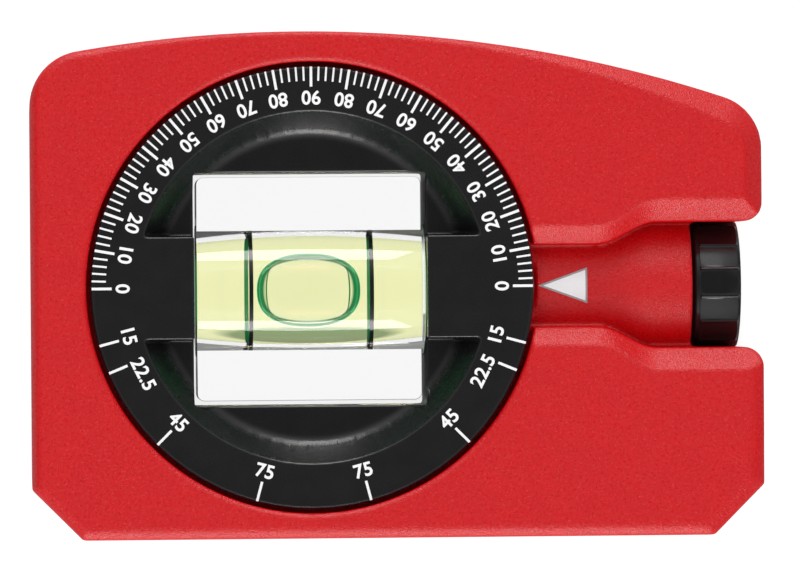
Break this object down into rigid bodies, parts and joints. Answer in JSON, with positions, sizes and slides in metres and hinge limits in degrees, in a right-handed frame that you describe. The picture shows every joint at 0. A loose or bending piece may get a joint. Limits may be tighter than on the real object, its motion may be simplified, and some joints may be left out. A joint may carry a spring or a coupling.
{
  "type": "magnetic level",
  "caption": "Pocket level with a grooved magnetic base, a turning vial dial in a round bore, and a fluted end knob that locks the dial.",
  "frame": {"origin": "on the plane of the back face, under the middle of the body's outline; the level lies on its back", "axes": "+X along the magnetic base, towards the knob; +Y from the grooved base to the crowned top; +Z out of the dial's front"},
  "size_m": [0.078, 0.0538, 0.02],
  "materials": {
    "red_powder_coat": "finely textured red powder coat",
    "nickel_plate": "bright nickel plate",
    "black_plastic": "fine satin moulding",
    "gloss_black_plastic": "gloss moulding",
    "zinc_steel": "zinc plate",
    "clear_acrylic": "clear polished acrylic",
    "green_fluid": "clear yellow-green spirit",
    "line_black": "flat black",
    "natural_nylon": "natural nylon"
  },
  "bodies": {
    "frame": {"frame": "red_powder_coat", "magnet_1": "nickel_plate", "magnet_2": "nickel_plate", "magnet_3": "nickel_plate"},
    "dial": {"dial_front": "black_plastic", "dial_rear": "black_plastic", "dial_screw_1": "zinc_steel", "dial_screw_2": "zinc_steel", "dial_screw_3": "zinc_steel", "dial_screw_4": "zinc_steel", "vial_block": "clear_acrylic", "vial_plug": "clear_acrylic", "vial_fluid": "green_fluid", "vial_line_front_left": "line_black", "vial_line_front_right": "line_black", "vial_line_rear_left": "line_black", "vial_line_rear_right": "line_black"},
    "brake": {"brake_shoe": "natural_nylon"},
    "knob": {"lock_knob": "gloss_black_plastic", "lock_screw": "zinc_steel"}
  },
  "joints": [
    {"name": "dial_spin", "type": "hinge", "parent": "frame", "child": "dial", "pos_m": [-0.0091, -0.00025, 0.01], "axis": [0, 0, 1], "continuous": true},
    {"name": "brake_slide", "type": "slide", "parent": "frame", "child": "brake", "axis": [1, 0, 0], "range_m": [0, 0.0016]},
    {"name": "knob_turn", "type": "hinge", "parent": "brake", "child": "knob", "pos_m": [0.034, -0.00025, 0.01], "axis": [1, 0, 0], "range_deg": [0, 720]}
  ],
  "couplings": [
    {"joint": "knob_turn", "follows": "brake_slide", "rad_per_m": 7854}
  ]
}
